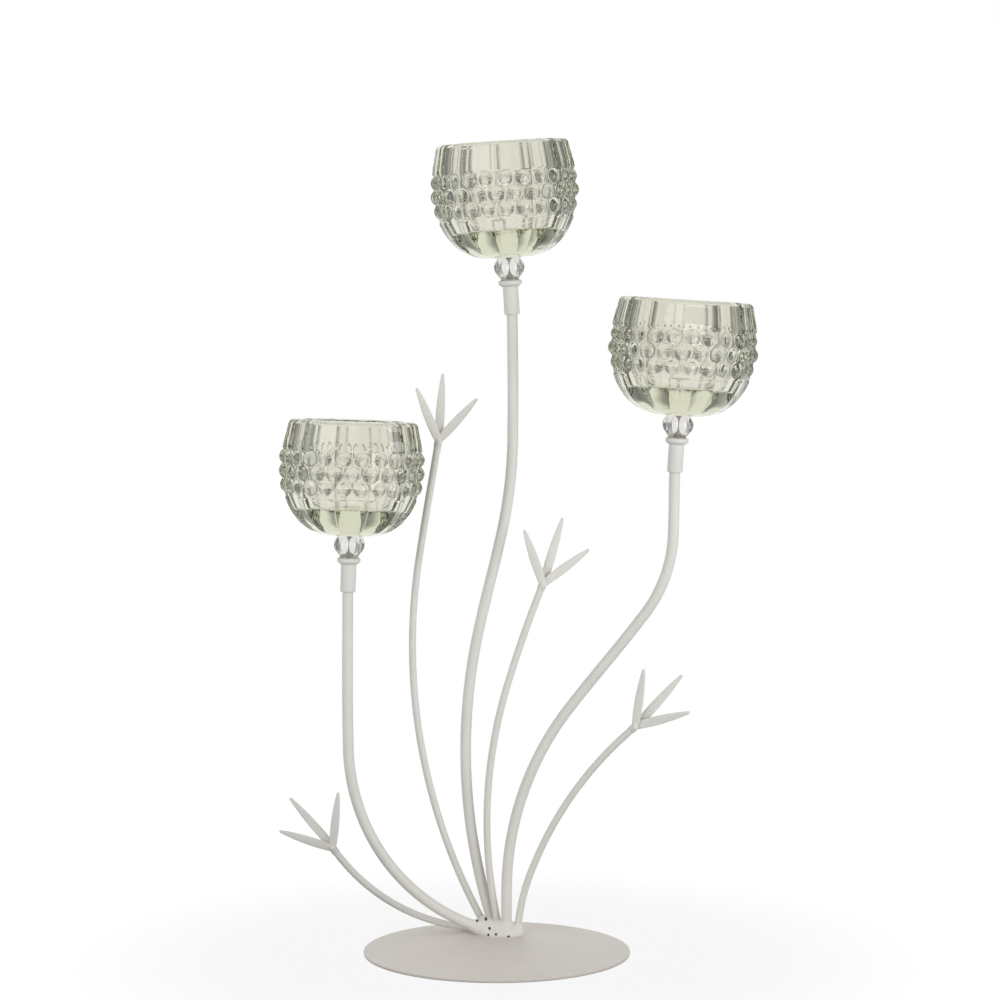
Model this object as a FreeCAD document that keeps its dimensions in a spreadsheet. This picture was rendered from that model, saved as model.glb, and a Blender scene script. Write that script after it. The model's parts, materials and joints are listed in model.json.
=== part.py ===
import FreeCAD, Part
import math
import os
import Sketcher
from FreeCAD import Placement, Rotation, Vector

# Table-top branch candelabra: a round plate, seven bent wires welded to it in one bundle, four of them
# ending in three leaves, and three pressed-glass tealight cups that screw onto the other three.
# Millimetres and degrees. +Z is up, the front is -Y, and the origin is the plate's centre on the table.

doc = FreeCAD.newDocument("branch_candelabra")
sheet = doc.addObject("Spreadsheet::Sheet", "Sizes")

# Driving sizes
SIZES = [
    # Plate and the felt disc under it
    ("base_diameter", 150),
    ("base_thickness", 1.5),
    ("base_edge_chamfer", 0.3),
    ("felt_inset", 4),
    ("felt_thickness", 0.8),
    ("felt_edge_chamfer", 0.2),
    # Wires, with their powder coat
    ("thick_wire", 6.2),
    ("thin_wire", 4.1),
    # Bundle of wire feet: the right cup wire stands in from the plate's back rim, and each other foot
    # stands beside another one, in a direction and with a gap
    ("bundle_x", 5.6),
    ("bundle_inset", 36.5),
    ("foot_gap", 0.4),
    ("left_foot_gap", 4),
    ("reed_foot_gap", 1.3),
    ("low_foot_gap", 1.4),
    ("reed_foot_side", 9),
    ("mid_foot_side", 132),
    ("top_foot_side", 120),
    ("tall_foot_side", 151),
    ("low_foot_side", 218),
    ("left_foot_side", 258),
    ("weld_thick", 2.2),
    ("weld_height", 2.6),
    # Left cup wire: heading of its upright plane, forward lean of the plane, start lean, runs and bends
    ("left_heading", 194),
    ("left_plane_lean", 0),
    ("left_start", 70.5),
    ("left_run_1", 1.5),
    ("left_bend_1", 117),
    ("left_turn_1", -70.5),
    ("left_run_2", 80.8),
    ("left_bend_2", 200),
    ("left_turn_2", -2),
    ("left_run_3", 8),
    # Top cup wire
    ("top_heading", 0),
    ("top_plane_lean", 2.5),
    ("top_start", -18.2),
    ("top_run_1", 1.5),
    ("top_bend_1", 333),
    ("top_turn_1", 31.6),
    ("top_run_2", 46),
    ("top_bend_2", 272),
    ("top_turn_2", -13.7),
    ("top_run_3", 61.7),
    ("top_bend_3", 80),
    ("top_turn_3", -3.3),
    ("top_run_4", 8),
    # Right cup wire
    ("right_heading", -13),
    ("right_plane_lean", 0),
    ("right_start", 0),
    ("right_run_1", 25),
    ("right_bend_1", 177),
    ("right_turn_1", 38.5),
    ("right_run_2", 65.5),
    ("right_bend_2", 80),
    ("right_turn_2", -37.5),
    ("right_run_3", 30.2),
    ("right_bend_3", 100),
    ("right_turn_3", 2.7),
    ("right_run_4", 8),
    # Tall sprig wire
    ("tall_heading", 180),
    ("tall_plane_lean", 0),
    ("tall_start", 29),
    ("tall_run_1", 1.5),
    ("tall_bend_1", 338),
    ("tall_turn_1", -38.5),
    ("tall_run_2", 62),
    # Middle sprig wire
    ("mid_heading", 0),
    ("mid_plane_lean", 4),
    ("mid_start", -13),
    ("mid_run_1", 1.5),
    ("mid_bend_1", 283),
    ("mid_turn_1", 30),
    ("mid_run_2", 4),
    ("mid_bend_2", 700),
    ("mid_turn_2", 4),
    ("mid_run_3", 5),
    # Right sprig wire
    ("reed_heading", -20),
    ("reed_plane_lean", 0),
    ("reed_start", 3.8),
    ("reed_run_1", 1.5),
    ("reed_bend_1", 115),
    ("reed_turn_1", 19),
    ("reed_run_2", 3),
    ("reed_bend_2", 222),
    ("reed_turn_2", 25),
    ("reed_run_3", 5.5),
    # Low left sprig wire
    ("low_heading", 170),
    ("low_plane_lean", 0),
    ("low_start", 89),
    ("low_run_1", 2.5),
    ("low_bend_1", 107),
    ("low_turn_1", -51),
    ("low_run_2", 2),
    # Leaves: three to a sprig, fanned from the wire's end by their own angles
    ("leaf_length", 33),
    ("leaf_middle_length", 39),
    ("leaf_width", 5),
    ("leaf_root", 3.7),
    ("leaf_tip", 1.4),
    ("leaf_thickness", 1.3),
    ("leaf_back_tilt", 8),
    ("sprig_weld_thick", 0.8),
    ("tall_leaf_left", 32),
    ("tall_leaf_middle", 6),
    ("tall_leaf_right", -33),
    ("mid_leaf_left", 40),
    ("mid_leaf_middle", 4),
    ("mid_leaf_right", -32),
    ("reed_leaf_left", 39),
    ("reed_leaf_middle", 7),
    ("reed_leaf_right", -26),
    ("low_leaf_left", 36),
    ("low_leaf_middle", 7),
    ("low_leaf_right", -44),
    # Socket on the end of each cup wire
    ("sleeve_diameter", 8.8),
    ("sleeve_length", 15.5),
    ("flange_diameter", 13.2),
    ("flange_taper", 1.5),
    ("flange_height", 2.3),
    ("flange_chamfer", 0.7),
    ("wire_insert", 9),
    ("wire_clearance", 0.05),
    # Stud, washer and lobed bead between socket and cup
    ("stud_diameter", 3),
    ("stud_engagement", 8),
    ("stud_spare", 0.6),
    ("stud_in_cup", 4.5),
    ("stud_chamfer", 0.3),
    ("stud_clearance", 0.05),
    ("washer_diameter", 10.4),
    ("washer_thickness", 0.5),
    ("seat_gap", 0.03),
    ("bead_diameter", 18),
    ("bead_height", 14),
    ("bead_flute", 3.4),
    ("bead_flute_depth", 1.1),
    ("bead_clearance", 0.2),
    ("bead_nest", 1.6),
    # Cup outside: corner radius of the panels at each height
    ("cup_height", 65),
    ("cup_base_radius", 14.5),
    ("cup_foot_height", 1.6),
    ("cup_foot_radius", 19.8),
    ("cup_curl_height", 5),
    ("cup_curl_radius", 26),
    ("cup_bowl_height", 11.5),
    ("cup_bowl_radius", 32.5),
    ("cup_shoulder_height", 20.5),
    ("cup_shoulder_radius", 37.5),
    ("cup_belly_height", 34),
    ("cup_belly_radius", 40.1),
    ("cup_upper_height", 48),
    ("cup_upper_radius", 40.1),
    ("cup_rim_radius", 37.3),
    ("cup_rim_round", 3.5),
    # Cup inside: round, with a flat floor for a tealight over a solid bottom
    ("cup_floor_height", 17),
    ("cup_floor_radius", 26),
    ("cup_wall", 9.5),
    # Hobnails in three staggered rows
    ("hobnail_diameter", 9.4),
    ("hobnail_proud", 2),
    ("hobnail_first_row", 28),
    ("hobnail_row_pitch", 7.9),
    # Turn of each cup about its own stud
    ("left_cup_turn", -11),
    ("top_cup_turn", -7),
    ("right_cup_turn", -4),
]

# Counts
PANEL_COUNT = 12
HOBNAILS_PER_ROW = 2 * PANEL_COUNT
HOBNAIL_ROWS = 3
BEAD_LOBES = 8

for row, (alias, value) in enumerate(SIZES, start=1):
    sheet.set(f"A{row}", alias)
    sheet.set(f"B{row}", str(value))
    sheet.setAlias(f"B{row}", alias)
doc.recompute()

subparts = []


def size(alias):
    return float(sheet.get(alias))


def worked_out(formula):
    """The number that a formula of sheet sizes gives."""
    return float(sheet.evalExpression(formula))


def named(thing, label, placement=None):
    """Lists a finished sub-part under its label, at its place."""
    thing.Label = label
    if placement is not None:
        thing.Placement = placement
    subparts.append(thing)
    return thing


# General shapes

def origin_plane(body, role):
    for feature in body.Origin.OriginFeatures:
        if feature.Role == role:
            return feature
    raise ValueError(role)


def new_sketch(body, role):
    sketch = body.newObject("Sketcher::SketchObject", "outline")
    sketch.AttachmentSupport = (origin_plane(body, role), [""])
    sketch.MapMode = "FlatFace"
    return sketch


def fix_point(sketch, index, end, x_formula, y_formula):
    """Ties one end of a line or arc to two formulas, measured from the sketch's origin."""
    for kind, formula, axis in (("DistanceX", x_formula, -2), ("DistanceY", y_formula, -1)):
        if formula == "0":
            sketch.addConstraint(Sketcher.Constraint("PointOnObject", index, end, axis))
            continue
        value = worked_out(formula)
        row = sketch.addConstraint(Sketcher.Constraint(kind, -1, 1, index, end, value))
        sketch.setExpression(f"Constraints[{row}]", formula)


def closed_outline(sketch, corners):
    """A closed run of straight lines whose corners are pairs of formulas."""
    points = [Vector(worked_out(x), worked_out(y), 0) for x, y in corners]
    for index, point in enumerate(points):
        following = points[(index + 1) % len(points)]
        sketch.addGeometry(Part.LineSegment(point, following), False)
    for index, corner in enumerate(corners):
        before = (index - 1) % len(corners)
        sketch.addConstraint(Sketcher.Constraint("Coincident", before, 2, index, 1))
        fix_point(sketch, index, 1, *corner)


def turned(label, corners, placement):
    """A lathe-turned piece: the outline's corners are (radius, height) formulas."""
    body = doc.addObject("PartDesign::Body", label)
    sketch = new_sketch(body, "XZ_Plane")
    closed_outline(sketch, corners)
    doc.recompute()
    revolution = body.newObject("PartDesign::Revolution", "revolution")
    revolution.Profile = sketch
    revolution.ReferenceAxis = (sketch, ["V_Axis"])
    revolution.Angle = 360
    return named(body, label, placement)


def disc_corners(radius, bottom, top, chamfer):
    """Outline of a disc with both edges broken."""
    return [
        ("0", bottom),
        (f"{radius} - {chamfer}", bottom),
        (radius, f"{bottom} + {chamfer}"),
        (radius, f"{top} - {chamfer}"),
        (f"{radius} - {chamfer}", top),
        ("0", top),
    ]


def fused(pieces, label):
    fuse = doc.addObject("Part::MultiFuse", label)
    fuse.Shapes = pieces
    return fuse


def cut(base, tool, label):
    result = doc.addObject("Part::Cut", label)
    result.Base = base
    result.Tool = tool
    return result


def cylinder(radius, height, label):
    piece = doc.addObject("Part::Cylinder", label)
    piece.setExpression("Radius", radius)
    piece.setExpression("Height", height)
    return piece


# Plate and felt

PLATE_TOP = "Sizes.felt_thickness + Sizes.base_thickness"
plate_top = worked_out(PLATE_TOP)


def make_base():
    rim = "Sizes.base_diameter / 2"
    plate = disc_corners(rim, "Sizes.felt_thickness", PLATE_TOP, "Sizes.base_edge_chamfer")
    turned("base_plate", plate, Placement())
    felt = disc_corners(f"{rim} - Sizes.felt_inset", "0", "Sizes.felt_thickness", "Sizes.felt_edge_chamfer")
    turned("base_felt", felt, Placement())


# Bent wires: runs and tangent arcs in each wire's own plane

def direction(lean):
    """Unit vector in the wire's plane, leaning from upright by an angle in radians."""
    return Vector(math.sin(lean), 0, math.cos(lean))


def along_arc(start, lean, radius, turn):
    """Point reached from start on a tangent arc of that radius after that turn in radians."""
    side = math.copysign(1, turn)
    centre = start + direction(lean + side * math.pi / 2) * radius
    return centre - direction(lean + turn + side * math.pi / 2) * radius


def bend_count(wire):
    return sum(alias.startswith(f"{wire}_bend_") for alias, value in SIZES)


def bent_path(wire, wire_radius):
    """Edges of the wire's centre line, which stands on the lowest point of its square-cut foot, its last
    point and its last lean."""
    lean = math.radians(size(f"{wire}_start"))
    plane_lean = math.radians(size(f"{wire}_plane_lean"))
    steepness = math.cos(lean) * math.cos(plane_lean)
    foot_height = wire_radius * math.sqrt(1 - steepness ** 2) / math.cos(plane_lean)
    point = Vector(0, 0, foot_height)
    edges = []
    bends = bend_count(wire)
    for step in range(1, bends + 2):
        end = point + direction(lean) * size(f"{wire}_run_{step}")
        edges.append(Part.LineSegment(point, end).toShape())
        point = end
        if step > bends:
            break
        radius = size(f"{wire}_bend_{step}")
        turn = math.radians(size(f"{wire}_turn_{step}"))
        halfway = along_arc(point, lean, radius, turn / 2)
        end = along_arc(point, lean, radius, turn)
        edges.append(Part.Arc(point, halfway, end).toShape())
        point = end
        lean += turn
    return edges, point, lean


def wire_frame(wire, foot):
    """Place of a wire's own plane: X along its heading, Z up the plane."""
    heading = Rotation(Vector(0, 0, 1), size(f"{wire}_heading"))
    lean = Rotation(Vector(1, 0, 0), size(f"{wire}_plane_lean"))
    return Placement(Vector(foot.x, foot.y, plate_top), heading.multiply(lean))


def swept_wire(label, wire, edges, radius, frame):
    """A round rod of that radius formula along the wire's centre line."""
    path = doc.addObject("Part::Feature", f"{wire}_path")
    path.Shape = Part.Wire(edges)
    section = doc.addObject("Part::Circle", f"{wire}_section")
    section.setExpression("Radius", radius)
    start = Rotation(Vector(0, 1, 0), size(f"{wire}_start"))
    section.Placement = Placement(edges[0].Vertexes[0].Point, start)
    sweep = doc.addObject("Part::Sweep", label)
    sweep.Sections = [section]
    sweep.Spine = (path, [f"Edge{number + 1}" for number in range(len(edges))])
    sweep.Solid = True
    sweep.Frenet = False
    sweep.Placement = frame
    return sweep


def make_wire(label, wire, thickness, foot):
    """One bent round wire. Returns the room that welds leave for it, its end and the turn of its end."""
    edges, end, lean = bent_path(wire, size(thickness) / 2)
    frame = wire_frame(wire, foot)
    radius = f"Sizes.{thickness} / 2"
    named(swept_wire(label, wire, edges, radius, frame), label)
    room = swept_wire(f"{wire}_room", wire, edges, f"{radius} + Sizes.seat_gap", frame)
    end_turn = frame.Rotation.multiply(Rotation(Vector(0, 1, 0), math.degrees(lean)))
    return room, frame.multVec(end), end_turn


def beside(other_foot, other_wire, own_wire, side, gap):
    """Foot of a wire that stands beside another one, clear of it by the gap."""
    reach = (size(other_wire) + size(own_wire)) / 2 + size(gap)
    return other_foot + Rotation(Vector(0, 0, 1), size(side)).multVec(Vector(reach, 0, 0))


def wire_feet():
    feet = {"right": Vector(size("bundle_x"), size("base_diameter") / 2 - size("bundle_inset"), 0)}
    feet["reed"] = beside(feet["right"], "thick_wire", "thin_wire", "reed_foot_side", "reed_foot_gap")
    feet["mid"] = beside(feet["right"], "thick_wire", "thin_wire", "mid_foot_side", "foot_gap")
    feet["top"] = beside(feet["mid"], "thin_wire", "thick_wire", "top_foot_side", "foot_gap")
    feet["tall"] = beside(feet["top"], "thick_wire", "thin_wire", "tall_foot_side", "foot_gap")
    feet["low"] = beside(feet["tall"], "thin_wire", "thin_wire", "low_foot_side", "low_foot_gap")
    feet["left"] = beside(feet["tall"], "thin_wire", "thick_wire", "left_foot_side", "left_foot_gap")
    return feet


# Weld mound: a lump round each wire's foot, on the plate

def make_base_weld(wires):
    lumps = []
    for room, thickness, foot in wires:
        lump = doc.addObject("Part::Sphere", "weld_lump")
        lump.setExpression("Radius", f"Sizes.{thickness} / 2 + Sizes.weld_thick")
        lump.Placement.Base = Vector(foot.x, foot.y, 0)
        lump.setExpression("Placement.Base.z", f"{PLATE_TOP} + Sizes.weld_height")
        lumps.append(lump)
    below = doc.addObject("Part::Box", "below_plate_top")
    for side in ("Length", "Width", "Height"):
        below.setExpression(side, "Sizes.base_diameter")
    half = size("base_diameter") / 2
    below.Placement.Base = Vector(-half, -half, plate_top + size("seat_gap") - 2 * half)
    mound = cut(fused(lumps, "weld_lumps"), below, "weld_on_plate")
    for room, thickness, foot in wires:
        mound = cut(mound, room, "weld_round_wires")
    named(mound, "base_weld")


# Leaves: an end is rounded by nearly half its width, so a root reaches a little over half its width each way

END_ROUND = 0.48
ROOT_REACH = 0.54
SAME_PLACE = 1e-6
LEAVES = (("left", "leaf_length", 2), ("right", "leaf_length", 1), ("middle", "leaf_middle_length", 0))


def make_leaf(label, length, frame, tilt):
    """A flat leaf that lies along +Y of its frame with its root's round at the origin."""
    body = doc.addObject("PartDesign::Body", label)
    sketch = new_sketch(body, "XY_Plane")
    root = "Sizes.leaf_root / 2"
    tip = "Sizes.leaf_tip / 2"
    foot = "-Sizes.leaf_root / 2"
    chord = f"(({length} + {root})^2 + ({root} - {tip})^2)"
    bulge = f"(Sizes.leaf_width / 2 - ({root} + {tip}) / 2)"
    side_radius = f"({chord} / 8 / {bulge} + {bulge} / 2)"
    corners = [(f"-{root}", foot), (root, foot), (tip, length), (f"-{tip}", length)]
    points = [Vector(worked_out(x), worked_out(y), 0) for x, y in corners]
    swell = Vector(worked_out("Sizes.leaf_width / 2"), (points[0].y + points[2].y) / 2, 0)
    right_side = Part.Arc(points[1], swell, points[2])
    left_side = Part.Arc(points[3], Vector(-swell.x, swell.y, 0), points[0])
    sketch.addGeometry(Part.LineSegment(points[0], points[1]), False)
    sketch.addGeometry(right_side, False)
    sketch.addGeometry(Part.LineSegment(points[2], points[3]), False)
    sketch.addGeometry(left_side, False)
    for index in range(len(corners)):
        sketch.addConstraint(Sketcher.Constraint("Coincident", index, 2, (index + 1) % len(corners), 1))
    for index, corner in enumerate(corners):
        fix_point(sketch, index, 1, *corner)
    for index in (1, 3):
        row = sketch.addConstraint(Sketcher.Constraint("Radius", index, worked_out(side_radius)))
        sketch.setExpression(f"Constraints[{row}]", side_radius)
    doc.recompute()
    pad = body.newObject("PartDesign::Pad", "blade")
    pad.Profile = sketch
    pad.setExpression("Length", "Sizes.leaf_thickness")
    doc.recompute()
    round_corners(body, pad, points[0].y, f"Sizes.leaf_root * {END_ROUND}", "root_round")
    round_corners(body, body.Tip, points[2].y, f"Sizes.leaf_tip * {END_ROUND}", "tip_round")
    back = Placement(Vector(0, points[0].y, size("leaf_thickness")), Rotation(Vector(1, 0, 0), tilt))
    unpivot = Placement(Vector(0, -points[0].y, -size("leaf_thickness")), Rotation())
    named(body, label, frame.multiply(back).multiply(unpivot))


def round_corners(body, base, end, radius, name):
    """Rounds the two corners of the leaf's outline at one end."""
    edges = []
    for number, edge in enumerate(base.Shape.Edges, start=1):
        ends = [vertex.Point for vertex in edge.Vertexes]
        if len(ends) == 2 and all(abs(point.y - end) < SAME_PLACE for point in ends):
            if abs(ends[0].z - ends[1].z) > SAME_PLACE:
                edges.append(f"Edge{number}")
    fillet = body.newObject("PartDesign::Fillet", name)
    fillet.Base = (base, edges)
    fillet.setExpression("Radius", radius)
    body.Tip = fillet
    doc.recompute()


def make_sprig(wire, room, end, end_turn):
    """Three leaves stacked on the wire's end, the middle one at the back, and the weld that holds them."""
    along = end_turn.multVec(Vector(0, 0, 1))
    front = end_turn.multVec(Vector(0, 1, 0))
    if front.y > 0:
        front = -front
    root_reach = size("leaf_root") * ROOT_REACH
    upright = Rotation(along.cross(front), along, front, "ZYX")
    for side, length, layer in LEAVES:
        depth = size("leaf_thickness") * (layer - len(LEAVES) / 2)
        fan = Rotation(Vector(0, 0, 1), size(f"{wire}_leaf_{side}"))
        tilt = -size("leaf_back_tilt") if layer == 0 else 0
        heel = size("leaf_thickness") * math.sin(math.radians(abs(tilt)))
        pivot = end + along * (root_reach + heel + size("seat_gap"))
        frame = Placement(pivot + front * depth, upright.multiply(fan))
        make_leaf(f"leaf_{wire}_{side}", f"Sizes.{length}", frame, tilt)
    lump = doc.addObject("Part::Sphere", "sprig_lump")
    lump.setExpression("Radius", "Sizes.thin_wire / 2 + Sizes.sprig_weld_thick")
    lump.Angle2 = 0
    lump.Placement = Placement(end, end_turn)
    named(cut(lump, room, f"sprig_weld_{wire}"), f"sprig_weld_{wire}")


# Socket, washer, bead and stud, each upright with its own zero height

SOCKET_TOP = "(Sizes.sleeve_length + Sizes.flange_taper + Sizes.flange_height)"


def socket_corners():
    """Sleeve and flange, with a blind bore for the wire below and one for the stud above."""
    sleeve = "Sizes.sleeve_diameter / 2"
    flange = "Sizes.flange_diameter / 2"
    wire_bore = "Sizes.thick_wire / 2 + Sizes.wire_clearance"
    stud_bore = "Sizes.stud_diameter / 2 + Sizes.stud_clearance"
    stud_floor = f"{SOCKET_TOP} - Sizes.stud_engagement - Sizes.stud_spare"
    return [
        ("0", "Sizes.wire_insert + Sizes.seat_gap"),
        (wire_bore, "Sizes.wire_insert + Sizes.seat_gap"),
        (wire_bore, "0"),
        (sleeve, "0"),
        (sleeve, "Sizes.sleeve_length"),
        (flange, "Sizes.sleeve_length + Sizes.flange_taper"),
        (flange, f"{SOCKET_TOP} - Sizes.flange_chamfer"),
        (f"{flange} - Sizes.flange_chamfer", SOCKET_TOP),
        (stud_bore, SOCKET_TOP),
        (stud_bore, stud_floor),
        ("0", stud_floor),
    ]


def washer_corners():
    bore = "Sizes.stud_diameter / 2 + Sizes.stud_clearance"
    edge = "Sizes.washer_diameter / 2"
    return [(bore, "0"), (edge, "0"), (edge, "Sizes.washer_thickness"), (bore, "Sizes.washer_thickness")]


STUD_LENGTH = "(Sizes.stud_engagement + Sizes.washer_thickness + 2 * Sizes.seat_gap" \
    " + Sizes.bead_height + Sizes.stud_in_cup)"


def make_bead():
    """A clear ball, flat at both ends, with upright flutes between its lobes and a bore for the stud."""
    ball = doc.addObject("Part::Sphere", "bead_ball")
    ball.setExpression("Radius", "Sizes.bead_diameter / 2")
    ball.setExpression("Placement.Base.z", "Sizes.bead_height / 2")
    bead = doc.addObject("Part::Common", "bead_trimmed")
    bead.Base = ball
    bead.Tool = cylinder("Sizes.bead_diameter", "Sizes.bead_height", "bead_slab")
    for number in range(BEAD_LOBES // 2):
        ring = doc.addObject("Part::Torus", "bead_flute_ring")
        ring.setExpression("Radius1", "(Sizes.bead_diameter + Sizes.bead_flute) / 2 - Sizes.bead_flute_depth")
        ring.setExpression("Radius2", "Sizes.bead_flute / 2")
        upright = Rotation(Vector(0, 1, 0), 90)
        ring.Placement.Rotation = Rotation(Vector(0, 0, 1), 360 * number / BEAD_LOBES).multiply(upright)
        ring.setExpression("Placement.Base.z", "Sizes.bead_height / 2")
        bead = cut(bead, ring, "bead_fluted")
    bore = cylinder("Sizes.stud_diameter / 2 + Sizes.stud_clearance", "Sizes.bead_height", "bead_bore")
    return cut(bead, bore, "bead_pattern")


# Cup

# A quarter round's middle lies this share of its radius inside each of its two tangents
ROUND_INSET = 1 - math.sqrt(0.5)
CUP_OUTSIDE = [
    ("0", "Sizes.cup_base_radius"),
    ("Sizes.cup_foot_height", "Sizes.cup_foot_radius"),
    ("Sizes.cup_curl_height", "Sizes.cup_curl_radius"),
    ("Sizes.cup_bowl_height", "Sizes.cup_bowl_radius"),
    ("Sizes.cup_shoulder_height", "Sizes.cup_shoulder_radius"),
    ("Sizes.cup_belly_height", "Sizes.cup_belly_radius"),
    ("Sizes.cup_upper_height", "Sizes.cup_upper_radius"),
    ("Sizes.cup_height - Sizes.cup_rim_round", "Sizes.cup_rim_radius"),
    (f"Sizes.cup_height - Sizes.cup_rim_round * {ROUND_INSET}",
     f"Sizes.cup_rim_radius - Sizes.cup_rim_round * {ROUND_INSET}"),
    ("Sizes.cup_height", "Sizes.cup_rim_radius - Sizes.cup_rim_round"),
]

CUP_INSIDE = [
    ("Sizes.cup_floor_height", "Sizes.cup_floor_radius"),
    ("Sizes.cup_shoulder_height", "Sizes.cup_shoulder_radius - Sizes.cup_wall"),
    ("Sizes.cup_belly_height", "Sizes.cup_belly_radius - Sizes.cup_wall"),
    ("Sizes.cup_upper_height", "Sizes.cup_upper_radius - Sizes.cup_wall"),
    ("Sizes.cup_height + Sizes.cup_rim_round", "Sizes.cup_rim_radius - Sizes.cup_wall"),
]


def lofted(sections, label, ruled):
    loft = doc.addObject("Part::Loft", label)
    loft.Sections = sections
    loft.Solid = True
    loft.Ruled = ruled
    return loft


def panel_section(height, radius):
    section = doc.addObject("Part::RegularPolygon", "panel_section")
    section.Polygon = PANEL_COUNT
    section.setExpression("Circumradius", radius)
    section.setExpression("Placement.Base.z", height)
    return section


def round_section(height, radius):
    section = doc.addObject("Part::Circle", "round_section")
    section.setExpression("Radius", radius)
    section.setExpression("Placement.Base.z", height)
    return section


def wall_radius(height, angle):
    """Reach of the panelled outside at a height and at an angle from a panel's edge."""
    profile = [(worked_out(z), worked_out(radius)) for z, radius in CUP_OUTSIDE]
    for (low, low_radius), (high, high_radius) in zip(profile, profile[1:]):
        if low <= height <= high:
            corner = low_radius + (high_radius - low_radius) * (height - low) / (high - low)
    half_panel = math.pi / PANEL_COUNT
    from_middle = (math.radians(angle) % (2 * half_panel)) - half_panel
    return corner * math.cos(half_panel) / math.cos(from_middle)


def hobnails():
    """Half-sunk balls in staggered rows."""
    balls = []
    step = 360 / HOBNAILS_PER_ROW
    for row in range(HOBNAIL_ROWS):
        height = size("hobnail_first_row") + row * size("hobnail_row_pitch")
        stagger = 0 if row % 2 else 0.5
        for number in range(HOBNAILS_PER_ROW):
            angle = step * (number + stagger)
            reach = wall_radius(height, angle) + size("hobnail_proud") - size("hobnail_diameter") / 2
            ball = doc.addObject("Part::Sphere", "hobnail")
            ball.setExpression("Radius", "Sizes.hobnail_diameter / 2")
            spot = Rotation(Vector(0, 0, 1), angle).multVec(Vector(reach, 0, height))
            ball.Placement = Placement(spot, Rotation(Vector(0, 0, 1), angle))
            balls.append(ball)
    return balls


def dimple_radius(height):
    """Room round the bead's ball at a height above the ball's centre."""
    return f"sqrt((Sizes.bead_diameter / 2)^2 - {height}^2) + 2 * Sizes.bead_clearance"


def make_cup():
    """A panelled bowl with hobnails, a round inside, a dimple for the bead and a bore for the stud."""
    outside = lofted([panel_section(*corner) for corner in CUP_OUTSIDE], "cup_outside", True)
    inside = lofted([round_section(*corner) for corner in CUP_INSIDE], "cup_inside", False)
    dimple = doc.addObject("Part::Cone", "cup_dimple")
    dimple.setExpression("Radius1", dimple_radius("(Sizes.bead_height / 2 - Sizes.bead_nest)"))
    dimple.setExpression("Radius2", dimple_radius("(Sizes.bead_height / 2)"))
    dimple.setExpression("Height", "Sizes.bead_nest")
    bore = cylinder("Sizes.stud_diameter / 2 + Sizes.stud_clearance",
                    "Sizes.bead_nest + Sizes.stud_in_cup + Sizes.seat_gap", "cup_bore")
    hollow = fused([inside, dimple, bore], "cup_hollow")
    return cut(fused([outside] + hobnails(), "cup_body"), hollow, "cup_pattern")


def copied(pattern, label, placement):
    """One more of a piece that is made once."""
    piece = doc.addObject("Part::Compound", label)
    piece.Links = [pattern]
    return named(piece, label, placement)


def make_arm_top(arm, end, end_turn, bead, cup):
    """The pieces on the end of one cup wire, from the socket up to the cup."""
    axis = end_turn.multVec(Vector(0, 0, 1))
    facing = Rotation(axis.cross(Vector(0, -1, 0)), Vector(0, 1, 0), axis, "ZXY")

    def at(height, turn=0):
        return Placement(end + axis * height, facing.multiply(Rotation(Vector(0, 0, 1), turn)))

    socket_foot = -size("wire_insert")
    flange_top = socket_foot + worked_out(SOCKET_TOP)
    washer_foot = flange_top + size("seat_gap")
    bead_foot = washer_foot + size("washer_thickness") + size("seat_gap")
    cup_foot = bead_foot + size("bead_height") - size("bead_nest")
    turned(f"socket_{arm}", socket_corners(), at(socket_foot))
    turned(f"washer_{arm}", washer_corners(), at(washer_foot))
    copied(bead, f"bead_{arm}", at(bead_foot))
    stud = disc_corners("Sizes.stud_diameter / 2", "0", STUD_LENGTH, "Sizes.stud_chamfer")
    turned(f"stud_{arm}", stud, at(flange_top - size("stud_engagement")))
    copied(cup, f"cup_{arm}", at(cup_foot, size(f"{arm}_cup_turn")))
    spot = end + axis * flange_top
    print(arm, "axis", [round(part, 6) for part in axis], "flange top", [round(part, 4) for part in spot])
    foot = end + axis * cup_foot
    print(arm, "cup foot", [round(part, 3) for part in foot])


CUP_WIRES = ("left", "top", "right")
SPRIG_WIRES = ("tall", "mid", "reed", "low")


def make_all():
    make_base()
    feet = wire_feet()
    bead = make_bead()
    cup = make_cup()
    wires = []
    for arm in CUP_WIRES:
        room, end, end_turn = make_wire(f"stem_{arm}", arm, "thick_wire", feet[arm])
        wires.append((room, "thick_wire", feet[arm]))
        make_arm_top(arm, end, end_turn, bead, cup)
    for wire in SPRIG_WIRES:
        room, end, end_turn = make_wire(f"sprig_stem_{wire}", wire, "thin_wire", feet[wire])
        wires.append((room, "thin_wire", feet[wire]))
        make_sprig(wire, room, end, end_turn)
    make_base_weld(wires)


make_all()
doc.recompute()

# Every object is sound before anything is written
for thing in doc.Objects:
    if "Invalid" in thing.State or "Error" in thing.State:
        raise RuntimeError(f"{thing.Label} failed: {thing.State}")
for thing in subparts:
    if thing.Shape.isNull() or not thing.Shape.isValid():
        raise RuntimeError(f"{thing.Label} has no sound shape")

os.makedirs("parts", exist_ok=True)
for thing in subparts:
    thing.Shape.exportStep(f"parts/{thing.Label}.step")
print(len(subparts), "pieces written")
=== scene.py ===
import json
import math

import bpy
import numpy as np
from mathutils import Matrix, Vector


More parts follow.
